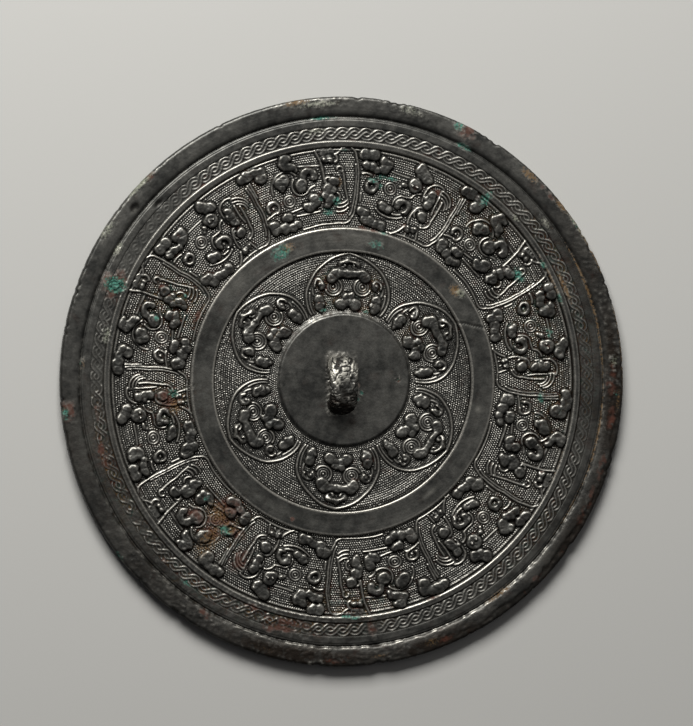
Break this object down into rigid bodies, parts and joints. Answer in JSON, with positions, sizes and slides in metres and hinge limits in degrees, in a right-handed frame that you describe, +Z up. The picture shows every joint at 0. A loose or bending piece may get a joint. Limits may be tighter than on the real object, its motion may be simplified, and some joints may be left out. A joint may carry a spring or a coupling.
{
  "type": "bronze mirror",
  "caption": "Round cast bronze hand mirror lying face down, with a raised rim, dragon panels, a leaf rosette and a small cord knob on its back.",
  "frame": {"origin": "centre of the polished face that the mirror lies on", "axes": "+Z up out of the ornamented back; +Y along the knob's length, towards the top of the ornament; +X along the cord hole"},
  "size_m": [0.18, 0.18, 0.0118],
  "materials": {
    "patinated_bronze": "dark grey-black patina, satin, with worn metal on the high places"
  },
  "bodies": {
    "root": {"mirror": "patinated_bronze"}
  },
  "joints": []
}
